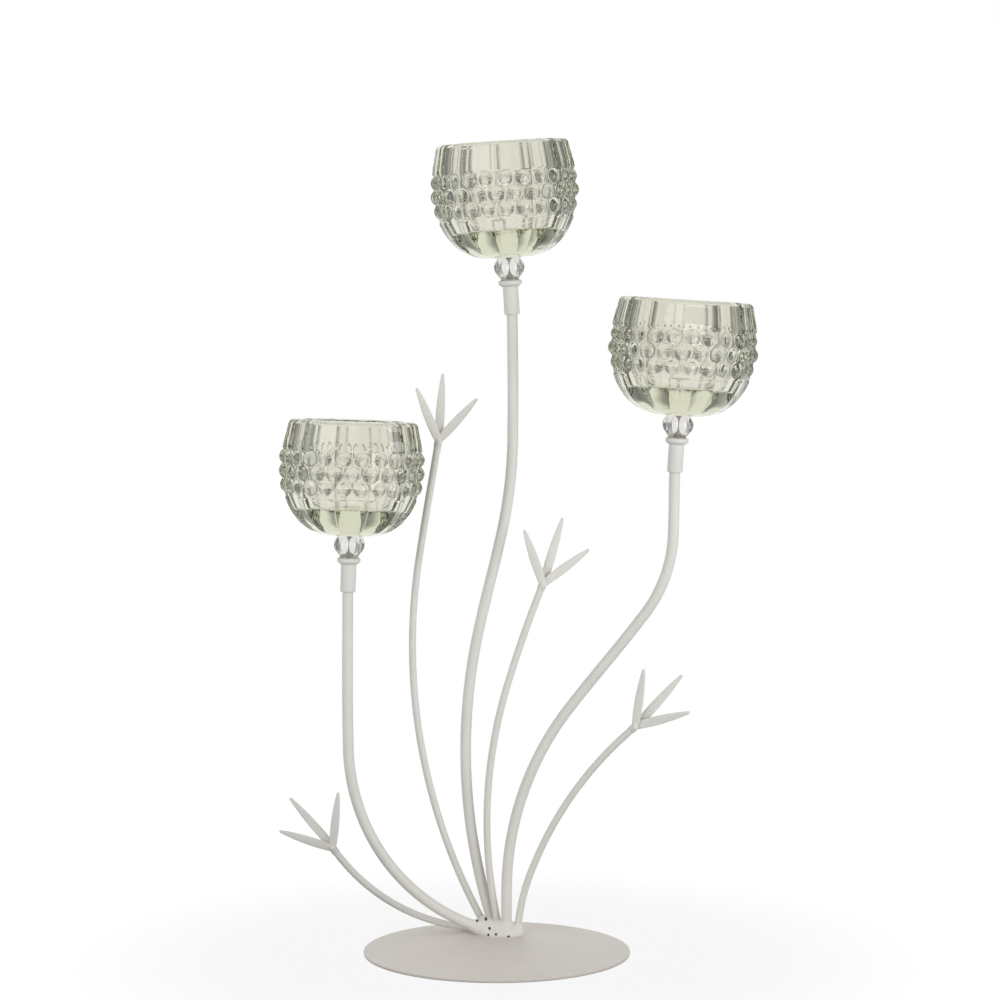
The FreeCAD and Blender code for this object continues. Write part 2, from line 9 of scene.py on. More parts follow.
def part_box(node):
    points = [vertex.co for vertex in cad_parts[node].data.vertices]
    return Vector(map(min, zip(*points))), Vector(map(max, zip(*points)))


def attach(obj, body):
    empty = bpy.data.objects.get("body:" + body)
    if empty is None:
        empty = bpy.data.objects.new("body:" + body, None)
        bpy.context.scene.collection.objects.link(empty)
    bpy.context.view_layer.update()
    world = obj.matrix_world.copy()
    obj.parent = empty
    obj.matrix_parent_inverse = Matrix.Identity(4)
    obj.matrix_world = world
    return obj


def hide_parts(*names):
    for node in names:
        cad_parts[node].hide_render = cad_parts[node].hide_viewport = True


# Looks of the branch candelabra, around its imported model. Lengths are metres, and MM is a millimetre.
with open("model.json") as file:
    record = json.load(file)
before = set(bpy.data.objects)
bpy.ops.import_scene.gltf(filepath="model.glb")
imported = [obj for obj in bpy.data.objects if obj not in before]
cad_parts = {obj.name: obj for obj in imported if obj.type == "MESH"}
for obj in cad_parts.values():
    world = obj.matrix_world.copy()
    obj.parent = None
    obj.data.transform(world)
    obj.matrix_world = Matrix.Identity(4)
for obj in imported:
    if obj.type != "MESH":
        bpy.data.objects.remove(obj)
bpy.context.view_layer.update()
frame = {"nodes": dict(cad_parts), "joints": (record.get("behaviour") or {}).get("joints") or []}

MM = 0.001
ARMS = ("left", "top", "right")
SPRIGS = ("tall", "mid", "reed", "low")
LEAF_SIDES = ("left", "middle", "right")
nodes = frame["nodes"]
joints = {joint["name"]: joint for joint in frame["joints"]}


# Mesh helpers

def new_mesh(name, points, faces):
    """A smooth-shaded mesh of points and faces."""
    mesh = bpy.data.meshes.new(name)
    mesh.from_pydata([tuple(point) for point in points], [], faces)
    mesh.update()
    mesh.shade_smooth()
    return mesh


def place_mesh(name, node, mesh, material, body="stand", matrix=Matrix.Identity(4)):
    """Puts a copy of a mesh into the scene as the piece that stands for a node and rides on its body."""
    mesh = mesh.copy()
    mesh.name = name
    mesh.transform(matrix)
    mesh.materials.append(material)
    piece = bpy.data.objects.new(name, mesh)
    bpy.context.scene.collection.objects.link(piece)
    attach(piece, body)
    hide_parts(node)


def grid_faces(rows, columns, closed_rows=False):
    """Quads of a grid that closes on itself along its columns, and along its rows if asked."""
    faces = []
    last = rows if closed_rows else rows - 1
    for row in range(last):
        above = (row + 1) % rows
        for column in range(columns):
            following = (column + 1) % columns
            faces.append((row * columns + column, row * columns + following,
                          above * columns + following, above * columns + column))
    return faces


def capped_faces(rows, columns):
    """Quads of a closed skin whose first and last rows are closed by fans to one point each."""
    faces = grid_faces(rows, columns)
    low_pole = rows * columns
    high_pole = low_pole + 1
    top = (rows - 1) * columns
    for column in range(columns):
        following = (column + 1) % columns
        faces.append((low_pole, following, column))
        faces.append((high_pole, top + column, top + following))
    return faces


def ring_points(levels, angles):
    """Points of rings about Z: each level is the radius at every angle, and a height."""
    points = []
    for radius, height in levels:
        points.extend(zip(radius * np.cos(angles), radius * np.sin(angles), np.full(len(angles), height)))
    return points


def eased(start, end, leave, arrive, share):
    """Place at a share of a smooth way from start to end that leaves and arrives with the slopes given."""
    place = (1 + 2 * share) * (1 - share) ** 2 * start + share ** 2 * (3 - 2 * share) * end
    return place + share * (1 - share) ** 2 * leave - share ** 2 * (1 - share) * arrive


def smooth_curve(knots, levels):
    """Values at levels on a smooth curve through knots of (level, value)."""
    at = np.array([level for level, _ in knots], float)
    value = np.array([value for _, value in knots], float)
    slope = np.gradient(value, at)
    index = np.clip(np.searchsorted(at, levels) - 1, 0, len(at) - 2)
    span = at[index + 1] - at[index]
    share = (levels - at[index]) / span
    return eased(value[index], value[index + 1], slope[index] * span, slope[index + 1] * span, share)


def smooth_max(first, second, width):
    """The larger of two values, with the step between them filleted."""
    near = np.clip(width - np.abs(first - second), 0, None) / width
    return np.maximum(first, second) + near ** 2 * width / 4


def rounded(corners, steps=5):
    """Profile with its corners rounded: each corner is (radius, height, rounding), the ends stay sharp."""
    spots = [Vector((r, z)) for r, z, _ in corners]
    profile = [spots[0]]
    for before, spot, after, (_, _, rounding) in zip(spots, spots[1:], spots[2:], corners[1:]):
        if rounding == 0:
            profile.append(spot)
            continue
        to_before = (before - spot).normalized()
        to_after = (after - spot).normalized()
        half = to_before.angle(to_after) / 2
        reach = rounding / math.tan(half)
        start = spot + to_before * reach
        end = spot + to_after * reach
        for step in range(steps + 1):
            share = step / steps
            profile.append(start.lerp(spot, share).lerp(spot.lerp(end, share), share))
    profile.append(spots[-1])
    return profile


def turned_mesh(name, profile, segments):
    """Mesh of a profile turned about Z. Profile ends on the axis become poles, other ends are joined."""
    on_axis = profile[0].x == 0
    ring = profile[1:-1] if on_axis else profile
    angles = np.linspace(0, 2 * math.pi, segments, endpoint=False)
    points = []
    for spot in ring:
        for angle in angles:
            points.append((spot.x * math.cos(angle), spot.x * math.sin(angle), spot.y))
    if on_axis:
        points.append((0, 0, profile[0].y))
        points.append((0, 0, profile[-1].y))
        faces = capped_faces(len(ring), segments)
    else:
        faces = grid_faces(len(ring), segments, closed_rows=True)
    return new_mesh(name, points, faces)


def arm_frame(arm, height, turn=0.0):
    """Place on an arm's axis, at a height above its flange, turned about the axis by degrees."""
    joint = joints[f"{arm}_cup_turn"]
    axis = Vector(joint["axis"]).normalized()
    across = axis.cross(Vector((0, -1, 0))).normalized()
    forward = axis.cross(across)
    matrix = Matrix((across, forward, axis)).transposed().to_4x4()
    matrix.translation = Vector(joint["pos_m"]) + axis * height
    return matrix @ Matrix.Rotation(math.radians(turn), 4, "Z")


def node_points(node):
    return np.array([vertex.co for vertex in nodes[node].data.vertices])


# Material helpers

def new_material(name):
    material = bpy.data.materials.new(name)
    material.use_nodes = True
    shader = material.node_tree.nodes["Principled BSDF"]
    return material, material.node_tree, shader


def noise_at(tree, scale, detail=2.0, roughness=0.5):
    """Noise in the object's own metres."""
    place = tree.nodes.new("ShaderNodeTexCoord")
    noise = tree.nodes.new("ShaderNodeTexNoise")
    noise.inputs["Scale"].default_value = scale
    noise.inputs["Detail"].default_value = detail
    noise.inputs["Roughness"].default_value = roughness
    tree.links.new(place.outputs["Object"], noise.inputs["Vector"])
    return noise.outputs["Fac"]


def two_tone(tree, factor, dark, light, low=0.35, high=0.65):
    """Colour ramp between two colours."""
    ramp = tree.nodes.new("ShaderNodeValToRGB")
    ramp.color_ramp.elements[0].position = low
    ramp.color_ramp.elements[0].color = (*dark, 1)
    ramp.color_ramp.elements[1].position = high
    ramp.color_ramp.elements[1].color = (*light, 1)
    tree.links.new(factor, ramp.inputs["Fac"])
    return ramp.outputs["Color"]


def between(tree, factor, low, high):
    """Number that runs from low to high with a factor."""
    spread = tree.nodes.new("ShaderNodeMapRange")
    spread.inputs["To Min"].default_value = low
    spread.inputs["To Max"].default_value = high
    tree.links.new(factor, spread.inputs["Value"])
    return spread.outputs["Result"]


def add_bump(tree, shader, height, distance, strength):
    bump = tree.nodes.new("ShaderNodeBump")
    bump.inputs["Distance"].default_value = distance
    bump.inputs["Strength"].default_value = strength
    tree.links.new(height, bump.inputs["Height"])
    tree.links.new(bump.outputs["Normal"], shader.inputs["Normal"])


# Near-black painted shade inside the weld's pinhole pits
PINHOLE_PAINTED_SHADE = (0.03, 0.028, 0.025)


def coat_material(name, dark, light):
    """Powder coat: fine orange peel, slightly uneven tone and gloss, and near-black painted shade in the
    pinholes where marked.
    """
    material, tree, shader = new_material(name)
    tone = two_tone(tree, noise_at(tree, scale=60, detail=3), dark, light)
    # Mask of the pinhole pits, where the near-black painted shade goes
    pinhole_shade_mask = tree.nodes.new("ShaderNodeAttribute")
    pinhole_shade_mask.attribute_name = "pinhole_painted_shade"
    mix = tree.nodes.new("ShaderNodeMixRGB")
    mix.inputs["Color2"].default_value = (*PINHOLE_PAINTED_SHADE, 1)
    tree.links.new(pinhole_shade_mask.outputs["Fac"], mix.inputs["Fac"])
    tree.links.new(tone, mix.inputs["Color1"])
    tree.links.new(mix.outputs["Color"], shader.inputs["Base Color"])
    roughness = between(tree, noise_at(tree, scale=250), low=0.42, high=0.58)
    tree.links.new(roughness, shader.inputs["Roughness"])
    shader.inputs["Specular IOR Level"].default_value = 0.35
    add_bump(tree, shader, noise_at(tree, scale=900, detail=1), distance=0.02 * MM, strength=0.06)
    return material


def glass_material(name, tint, absorbed=(1, 1, 1), density=0):
    """Pressed glass with a faint ripple and, where it is tinted, a colour that deepens with thickness."""
    material, tree, shader = new_material(name)
    shader.inputs["Base Color"].default_value = (*tint, 1)
    shader.inputs["Transmission Weight"].default_value = 1
    shader.inputs["IOR"].default_value = 1.5
    roughness = between(tree, noise_at(tree, scale=90), low=0, high=0.05)
    tree.links.new(roughness, shader.inputs["Roughness"])
    add_bump(tree, shader, noise_at(tree, scale=160, detail=1), distance=0.15 * MM, strength=0.25)
    if density:
        volume = tree.nodes.new("ShaderNodeVolumeAbsorption")
        volume.inputs["Color"].default_value = (*absorbed, 1)
        volume.inputs["Density"].default_value = density
        output = tree.nodes["Material Output"]
        tree.links.new(volume.outputs["Volume"], output.inputs["Volume"])
    return material


def silicone_material():
    material, tree, shader = new_material("clear_silicone")
    tone = two_tone(tree, noise_at(tree, scale=300), dark=(0.78, 0.78, 0.75), light=(0.86, 0.86, 0.83))
    tree.links.new(tone, shader.inputs["Base Color"])
    shader.inputs["Transmission Weight"].default_value = 0.6
    shader.inputs["Roughness"].default_value = 0.35
    shader.inputs["IOR"].default_value = 1.41
    add_bump(tree, shader, noise_at(tree, scale=900), distance=0.02 * MM, strength=0.3)
    return material


def stud_material():
    """Off-white paint on a thread."""
    material, tree, shader = new_material("painted_stud")
    grain = noise_at(tree, scale=700, detail=3)
    tone = two_tone(tree, grain, dark=(0.80, 0.79, 0.75), light=(0.86, 0.85, 0.81))
    tree.links.new(tone, shader.inputs["Base Color"])
    roughness = between(tree, noise_at(tree, scale=1200), low=0.35, high=0.5)
    tree.links.new(roughness, shader.inputs["Roughness"])
    return material


def felt_material():
    material, tree, shader = new_material("pressed_felt")
    grain = noise_at(tree, scale=1500, detail=4)
    tone = two_tone(tree, grain, dark=(0.46, 0.44, 0.41), light=(0.62, 0.60, 0.56))
    tree.links.new(tone, shader.inputs["Base Color"])
    shader.inputs["Roughness"].default_value = 0.95
    shader.inputs["Sheen Weight"].default_value = 0.4
    shader.inputs["Sheen Roughness"].default_value = 0.6
    fibres = noise_at(tree, scale=3000, detail=4, roughness=0.7)
    add_bump(tree, shader, fibres, distance=0.3 * MM, strength=0.8)
    return material


coat = coat_material("powder_coat", dark=(0.655, 0.645, 0.605), light=(0.68, 0.67, 0.63))
# The plate wears a darker, warmer copy of the stems' powder coat: painted shade for the weaker light that
# falls on its upward-facing top
plate_coat_painted_shade = coat_material("plate_powder_coat_painted_shade", dark=(0.635, 0.595, 0.548), light=(0.655, 0.61, 0.565))
green_glass = glass_material("green_pressed_glass", tint=(0.885, 0.878, 0.836),
                             absorbed=(0.89, 0.9, 0.805), density=40)
clear_glass = glass_material("clear_bead_glass", tint=(0.79, 0.78, 0.75))
silicone = silicone_material()
stud_paint = stud_material()
felt = felt_material()


# Plate and felt

BASE_RADIUS = 75 * MM
BASE_EDGE_ROUND = 0.45 * MM
FELT_INSET = 4 * MM
FELT_EDGE_ROUND = 0.25 * MM
PLATE_SEGMENTS = 240


def disc_mesh(name, radius, bottom, top, edge_round):
    """Flat disc with rounded edges."""
    profile = rounded([(0, bottom, 0), (radius, bottom, edge_round), (radius, top, edge_round), (0, top, 0)])
    return turned_mesh(name, profile, PLATE_SEGMENTS)


def make_base():
    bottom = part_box("base_plate")[0].z
    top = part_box("base_plate")[1].z
    plate = disc_mesh("plate", BASE_RADIUS, bottom, top, BASE_EDGE_ROUND)
    place_mesh("plate", "base_plate", plate, plate_coat_painted_shade)
    disc = disc_mesh("felt_disc", BASE_RADIUS - FELT_INSET, 0, bottom, FELT_EDGE_ROUND)
    place_mesh("felt_disc", "base_felt", disc, felt)


# Socket, stud and bead on each arm, measured upward from the flange's top

SLEEVE_RADIUS = 4.4 * MM
SLEEVE_LENGTH = 15.5 * MM
FLANGE_RADIUS = 6.6 * MM
FLANGE_TAPER = 1.5 * MM
FLANGE_HEIGHT = 2.3 * MM
FLANGE_ROUND = 0.9 * MM
FLANGE_UNDER_ROUND = 0.8 * MM
SLEEVE_NECK_ROUND = 0.6 * MM
SLEEVE_FOOT_ROUND = 0.45 * MM
WIRE_BORE = 3.15 * MM
WIRE_BORE_ROUND = 0.3 * MM
WIRE_INSERT = 9.03 * MM
BORE_END_ROUND = 0.1 * MM
STUD_RADIUS = 1.5 * MM
STUD_BORE = 1.55 * MM
STUD_BORE_ROUND = 0.2 * MM
STUD_ENGAGED = 8 * MM
STUD_FLOOR = 8.6 * MM
STUD_LENGTH = 27.06 * MM
STUD_TAPER = 0.5 * MM
STUD_COLUMNS = 40
THREAD_PITCH = 0.5 * MM
THREAD_DEPTH = 0.3 * MM
# How much steeper than a plain V the flanks are, which leaves a flat crest
THREAD_FLANK = 1.2
ROWS_PER_TURN = 8
BEAD_FOOT = 0.56 * MM
BEAD_RADIUS = 9 * MM
BEAD_HEIGHT = 14 * MM
BEAD_NEST = 1.6 * MM
BEAD_LOBES = 8
BEAD_LOBE_RADIUS = 3.3 * MM
BEAD_LOBE_REACH = 4.8 * MM
BEAD_LOBE_FILLET = 0.3 * MM
BEAD_FLUTE_DEPTH = 1.2 * MM
BEAD_COLUMNS = BEAD_LOBES * 24
BEAD_ROWS = 72
SOCKET_SEGMENTS = 64
SHARP_EDGE = math.radians(50)


def socket_profile():
    """Sleeve with a tapered flange, a bore for the wire from below and one for the stud from above."""
    foot = -SLEEVE_LENGTH - FLANGE_TAPER - FLANGE_HEIGHT
    shoulder = -FLANGE_TAPER - FLANGE_HEIGHT
    return rounded([
        (0, foot + WIRE_INSERT, 0),
        (WIRE_BORE, foot + WIRE_INSERT, BORE_END_ROUND),
        (WIRE_BORE, foot, WIRE_BORE_ROUND),
        (SLEEVE_RADIUS, foot, SLEEVE_FOOT_ROUND),
        (SLEEVE_RADIUS, shoulder, SLEEVE_NECK_ROUND),
        (FLANGE_RADIUS, -FLANGE_HEIGHT, FLANGE_UNDER_ROUND),
        (FLANGE_RADIUS, 0, FLANGE_ROUND),
        (STUD_BORE, 0, STUD_BORE_ROUND),
        (STUD_BORE, -STUD_FLOOR, BORE_END_ROUND),
        (0, -STUD_FLOOR, 0),
    ])


def stud_mesh():
    """Threaded rod: the skin's radius follows a helix of the thread's pitch, with plain tapered ends."""
    rows = int(STUD_LENGTH / THREAD_PITCH * ROWS_PER_TURN)
    heights = np.linspace(0, STUD_LENGTH, rows)
    angles = np.linspace(0, 2 * math.pi, STUD_COLUMNS, endpoint=False)
    points = []
    for height in heights:
        end_gap = min(height, STUD_LENGTH - height)
        depth = THREAD_DEPTH + max(0, STUD_TAPER - end_gap)
        for angle in angles:
            phase = (height / THREAD_PITCH - angle / (2 * math.pi)) % 1
            flank = min(1, 2 * abs(phase - 0.5) * THREAD_FLANK)
            groove = 1 - flank if end_gap > STUD_TAPER else 1
            radius = STUD_RADIUS - depth * groove
            points.append((radius * math.cos(angle), radius * math.sin(angle), height))
    points.append((0, 0, 0))
    points.append((0, 0, STUD_LENGTH))
    return new_mesh("threaded_stud", points, capped_faces(rows, STUD_COLUMNS))


def bead_mesh():
    """Ball with flat ends, a ring of upright oval lobes and a bore."""
    angles = np.linspace(0, 2 * math.pi, BEAD_COLUMNS, endpoint=False)
    half_lobe = math.pi / BEAD_LOBES
    aside = angles % (2 * half_lobe) - half_lobe
    lobe_centre = BEAD_RADIUS - BEAD_LOBE_RADIUS
    half_height = BEAD_HEIGHT / 2
    tilt_end = math.asin(half_height / BEAD_RADIUS)
    levels = []
    for tilt in np.linspace(-tilt_end, tilt_end, BEAD_ROWS):
        height = BEAD_RADIUS * math.sin(tilt)
        core = np.full(BEAD_COLUMNS, (BEAD_RADIUS - BEAD_FLUTE_DEPTH) * math.cos(tilt))
        swell = 1 - (height / BEAD_LOBE_REACH) ** 2
        room = BEAD_LOBE_RADIUS ** 2 * swell - (lobe_centre * np.sin(aside)) ** 2
        lobe = np.where(room > 0, lobe_centre * np.cos(aside) + np.sqrt(np.clip(room, 0, None)), 0)
        levels.append((smooth_max(core, lobe, BEAD_LOBE_FILLET), half_height + height))
    for height in (BEAD_HEIGHT, half_height, 0):
        levels.append((np.full(BEAD_COLUMNS, STUD_BORE), height))
    faces = grid_faces(len(levels), BEAD_COLUMNS, closed_rows=True)
    mesh = new_mesh("lobed_bead", ring_points(levels, angles), faces)
    mesh.set_sharp_from_angle(angle=SHARP_EDGE)
    return mesh


# Cup: heights are above its foot

PANELS = 12
HOBNAILS = 24
HOBNAIL_ROWS = 3
HOBNAIL_RADIUS = 4.7 * MM
HOBNAIL_PROUD = 2 * MM
HOBNAIL_FIRST_ROW = 28 * MM
HOBNAIL_ROW_PITCH = 7.9 * MM
HOBNAIL_FILLET = 0.5 * MM
CUP_HEIGHT = 65 * MM
CUP_RIM_ROUND = 3.5 * MM
CUP_FLOOR = 17 * MM
CUP_FLOOR_ROUND = 1.5 * MM
CUP_MOUTH_ROUND = 1 * MM
PANEL_HOLLOW = 0.3 * MM
BOWL_HOLLOW = 0.7 * MM
PANEL_LEDGE = 0.7 * MM
LEDGE_DROP = 0.4 * MM
BAND_BOTTOM = 21 * MM
BAND_TOP = 48.8 * MM
# Height and radius in millimetres: outside at the panels' corners, and inside a wall's thickness nearer
CUP_WALL = 9.5
CUP_SIDE = [(20.5, 37.5), (34, 40.1), (48, 40.1)]
CUP_RIM = (CUP_HEIGHT - CUP_RIM_ROUND) / MM
CUP_OUTSIDE = [(0, 14.5), (1.6, 19.8), (5, 26), (11.5, 32.5), *CUP_SIDE, (CUP_RIM, 37.3)]
CUP_INSIDE = [(height, radius - CUP_WALL) for height, radius in CUP_SIDE]
CUP_INSIDE = [(CUP_FLOOR / MM, 26), *CUP_INSIDE, (CUP_HEIGHT / MM, 28.3)]
CUP_TURNS = {"left": -11, "top": -7, "right": -4}
CUP_FOOT = BEAD_FOOT + BEAD_HEIGHT - BEAD_NEST
STUD_END_GAP = 0.03 * MM
BEAD_SEAT_GAP = 0.4 * MM
DIMPLE_EDGE_WIDTH = 0.3 * MM
DIMPLE_EDGE_HEIGHT = 0.2 * MM
# Soft edge of the foot: how far in from the first corner, and the height
FOOT_EDGE = ((0.8, 0), (0.25, 0.08))
FOOT_EDGE_TOP = 0.3 * MM
CUP_COLUMNS = HOBNAILS * 20
CUP_OUTSIDE_SLICES = 150
CUP_RIM_SLICES = 8
CUP_RIM_FIRST_TURN = 0.1
CUP_RIM_TOP_SHARES = (0.35, 0.7)
CUP_INSIDE_SLICES = 34
# Inside slices that give way to the roundings of the mouth and the floor
MOUTH_ROUND_SLICES = 3
FLOOR_ROUND_SLICES = 4


def panel_share(angles):
    """Radius of the panelled outline at each angle, as a share of its corner radius."""
    half = math.pi / PANELS
    return math.cos(half) / np.cos(angles % (2 * half) - half)


def panel_relief(height, angles):
    """How far the panels stand proud above and below the hobnail band, less the hollow across each."""
    into_band = np.clip([(height - BAND_BOTTOM) / LEDGE_DROP, (BAND_TOP - height) / LEDGE_DROP], 0, 1).min()
    half = math.pi / PANELS
    from_edge = 1 - np.abs((angles % (2 * half)) / half - 1)
    deepest = BOWL_HOLLOW if height < BAND_BOTTOM else PANEL_HOLLOW
    hollow = deepest * from_edge * (2 - from_edge)
    return (PANEL_LEDGE - hollow) * (1 - into_band)


def with_hobnails(radius, height, angles):
    """Outline at one height with the hobnails that reach it."""
    for row in range(HOBNAIL_ROWS):
        level = HOBNAIL_FIRST_ROW + row * HOBNAIL_ROW_PITCH
        if abs(height - level) >= HOBNAIL_RADIUS:
            continue
        corner = smooth_curve(CUP_OUTSIDE, np.array([level / MM]))[0] * MM
        step = 2 * math.pi / HOBNAILS
        stagger = 0 if row % 2 else step / 2
        nearest = np.round((angles - stagger) / step) * step + stagger
        centre = corner * panel_share(nearest) + HOBNAIL_PROUD - HOBNAIL_RADIUS
        aside = angles - nearest
        room = HOBNAIL_RADIUS ** 2 - (height - level) ** 2 - (centre * np.sin(aside)) ** 2
        ball = np.where(room > 0, centre * np.cos(aside) + np.sqrt(np.clip(room, 0, None)), 0)
        radius = smooth_max(radius, ball, HOBNAIL_FILLET)
    return radius


def foot_levels(panels):
    """Rings of the underside: bore of the stud, dimple for the bead and soft edge of the foot."""
    bore_top = STUD_LENGTH - STUD_ENGAGED - CUP_FOOT + STUD_END_GAP
    half_bead = BEAD_HEIGHT / 2
    dimple_low = math.sqrt(BEAD_RADIUS ** 2 - (half_bead - BEAD_NEST) ** 2) + BEAD_SEAT_GAP
    dimple_high = math.sqrt(BEAD_RADIUS ** 2 - half_bead ** 2) + BEAD_SEAT_GAP
    levels = []
    for radius, height in (
        (STUD_BORE, bore_top),
        (STUD_BORE, BEAD_NEST),
        (dimple_high, BEAD_NEST),
        (dimple_low, DIMPLE_EDGE_HEIGHT),
        (dimple_low + DIMPLE_EDGE_WIDTH, 0),
    ):
        levels.append((np.full(CUP_COLUMNS, radius), height))
    for inset, height in FOOT_EDGE:
        levels.append((panels * (CUP_OUTSIDE[0][1] - inset) * MM, height * MM))
    return levels


def outside_levels(angles, panels):
    """Rings of the panelled side with its hobnails, and of the round outer edge of the rim."""
    rim = CUP_HEIGHT - CUP_RIM_ROUND
    heights = np.linspace(FOOT_EDGE_TOP, rim, CUP_OUTSIDE_SLICES)
    corners = smooth_curve(CUP_OUTSIDE, heights / MM) * MM
    levels = []
    for height, corner in zip(heights, corners):
        outline = corner * panels + panel_relief(height, angles)
        levels.append((with_hobnails(outline, height, angles), height))
    rim_outside = levels[-1][0]
    for turn in np.linspace(CUP_RIM_FIRST_TURN, 1, CUP_RIM_SLICES) * math.pi / 2:
        drop = CUP_RIM_ROUND * (1 - math.cos(turn))
        levels.append((rim_outside - drop, rim + CUP_RIM_ROUND * math.sin(turn)))
    return levels


def inside_levels(rim_edge):
    """Rings across the rim's flat top, down the round inside wall and to the floor."""
    heights = np.linspace(CUP_HEIGHT, CUP_FLOOR, CUP_INSIDE_SLICES)
    radii = smooth_curve(CUP_INSIDE, heights / MM) * MM
    mouth = radii[0] + 2 * CUP_MOUTH_ROUND
    corners = [(mouth, CUP_HEIGHT, 0), (radii[0], CUP_HEIGHT, CUP_MOUTH_ROUND)]
    wall = slice(MOUTH_ROUND_SLICES, -FLOOR_ROUND_SLICES)
    corners.extend((radius, height, 0) for radius, height in zip(radii[wall], heights[wall]))
    corners.extend([(radii[-1], CUP_FLOOR, CUP_FLOOR_ROUND), (0, CUP_FLOOR, 0)])
    levels = []
    for share in CUP_RIM_TOP_SHARES:
        levels.append((rim_edge + (mouth - rim_edge) * share, CUP_HEIGHT))
    for spot in rounded(corners)[:-1]:
        levels.append((np.full(CUP_COLUMNS, spot.x), spot.y))
    return levels


def cup_mesh():
    """One closed skin of glass: underside, panelled outside, rim and round inside."""
    angles = np.linspace(0, 2 * math.pi, CUP_COLUMNS, endpoint=False)
    panels = panel_share(angles)
    levels = foot_levels(panels)
    bore_top = levels[0][1]
    levels.extend(outside_levels(angles, panels))
    levels.extend(inside_levels(levels[-1][0]))
    points = ring_points(levels, angles)
    points.append((0, 0, bore_top))
    points.append((0, 0, CUP_FLOOR))
    return new_mesh("glass_cup", points, capped_faces(len(levels), CUP_COLUMNS))


def make_arms():
    socket = turned_mesh("socket", socket_profile(), SOCKET_SEGMENTS)
    stud = stud_mesh()
    bead = bead_mesh()
    cup = cup_mesh()
    for arm in ARMS:
        place_mesh(f"coated_socket_{arm}", f"socket_{arm}", socket, coat, matrix=arm_frame(arm, 0))
        body = f"{arm}_cup_body"
        place_mesh(f"threaded_stud_{arm}", f"stud_{arm}", stud, stud_paint, body,
                   arm_frame(arm, -STUD_ENGAGED))
        place_mesh(f"glass_bead_{arm}", f"bead_{arm}", bead, clear_glass, body,
                   arm_frame(arm, BEAD_FOOT))
        place_mesh(f"glass_cup_{arm}", f"cup_{arm}", cup, green_glass, body,
                   arm_frame(arm, CUP_FOOT, CUP_TURNS[arm]))


# Leaves

LEAF_ROOT = 3.7 * MM
LEAF_WIDTH = 5 * MM
LEAF_TIP = 1.4 * MM
LEAF_THICK = 1.3 * MM
# Power of the flat oval that a leaf's section is: 2 is an ellipse, and more is squarer
LEAF_EDGE = 3.2
LEAF_STATIONS = 56
LEAF_COLUMNS = 28


def box_centre(node):
    low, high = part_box(node)
    return np.array((low + high) / 2)


def leaf_axes(node, weld):
    """Root point, length and unit vectors along, across and through a flat leaf, from its own solid."""
    points = node_points(node)
    middle = points.mean(axis=0)
    _, _, (along, across, through) = np.linalg.svd(points - middle, full_matrices=False)
    if np.dot(box_centre(weld) - middle, along) > 0:
        along = -along
    reach = (points - middle) @ along
    depth = (points - middle) @ through
    sideways = (points - middle) @ across
    root = middle + along * reach.min()
    root += through * (depth.min() + depth.max()) / 2 + across * (sideways.min() + sideways.max()) / 2
    return root, reach.max() - reach.min(), along, across, through


def leaf_mesh(node, weld):
    """A stamped leaf with soft edges: stations along its length, each a flat oval."""
    root, length, along, across, through = leaf_axes(node, weld)
    swell = (LEAF_WIDTH - (LEAF_ROOT + LEAF_TIP) / 2) / 2
    turns = np.linspace(0, 2 * math.pi, LEAF_COLUMNS, endpoint=False)
    side = np.sign(np.cos(turns)) * np.abs(np.cos(turns)) ** (2 / LEAF_EDGE)
    face = np.sign(np.sin(turns)) * np.abs(np.sin(turns)) ** (2 / LEAF_EDGE)
    points = []
    for station in range(1, LEAF_STATIONS):
        share = (1 - math.cos(math.pi * station / LEAF_STATIONS)) / 2
        half_width = (LEAF_ROOT + (LEAF_TIP - LEAF_ROOT) * share) / 2 + swell * 4 * share * (1 - share)
        from_end = min(share * length / (LEAF_ROOT / 2), (1 - share) * length / (LEAF_TIP / 2), 1)
        end_round = math.sqrt(1 - (1 - from_end) ** 2)
        half_thick = LEAF_THICK / 2 * math.sqrt(end_round)
        spot = root + along * share * length
        half_width *= end_round
        for aside, outward in zip(side, face):
            points.append(spot + across * half_width * aside + through * half_thick * outward)
    points.append(root)
    points.append(root + along * length)
    return new_mesh(node, points, capped_faces(LEAF_STATIONS - 1, LEAF_COLUMNS))


# Welds: soft lumps that run together

# Share of a soft ball's radius at which the skin of a single ball lies
BALL_SHARE = 0.575
WELD_GRAIN = 0.35 * MM
SPRIG_GRAIN = 0.25 * MM


def lump_mesh(name, balls, grain):
    """Mesh of balls (spot, radius) that flow into each other, solved in millimetres."""
    data = bpy.data.metaballs.new(name)
    data.resolution = grain / MM
    data.render_resolution = grain / MM
    for spot, radius in balls:
        ball = data.elements.new(type="BALL")
        ball.co = spot / MM
        ball.radius = radius / MM / BALL_SHARE
    lump = bpy.data.objects.new(name, data)
    bpy.context.scene.collection.objects.link(lump)
    bpy.context.view_layer.update()
    solved = lump.evaluated_get(bpy.context.evaluated_depsgraph_get())
    mesh = bpy.data.meshes.new_from_object(solved)
    bpy.data.objects.remove(lump)
    bpy.data.metaballs.remove(data)
    mesh.transform(Matrix.Scale(MM, 4))
    mesh.shade_smooth()
    return mesh


# Wires with their coat: radii, and how their rings are found in their solids

THICK_WIRE = 3.1 * MM
THIN_WIRE = 2.05 * MM
WIRE_RADII = {f"stem_{arm}": THICK_WIRE for arm in ARMS}
WIRE_RADII.update({f"sprig_stem_{sprig}": THIN_WIRE for sprig in SPRIGS})
WIRE_STEP = 2.5 * MM
WIRE_COLUMNS = 28
SAME_CENTRE = 0.02 * MM
RING_CORNERS = 6
RING_SPREAD = 0.1
RING_GAP = WIRE_STEP / 10
# A direction that no wire starts in
ASIDE = (0.3, 0.9, 0.1)


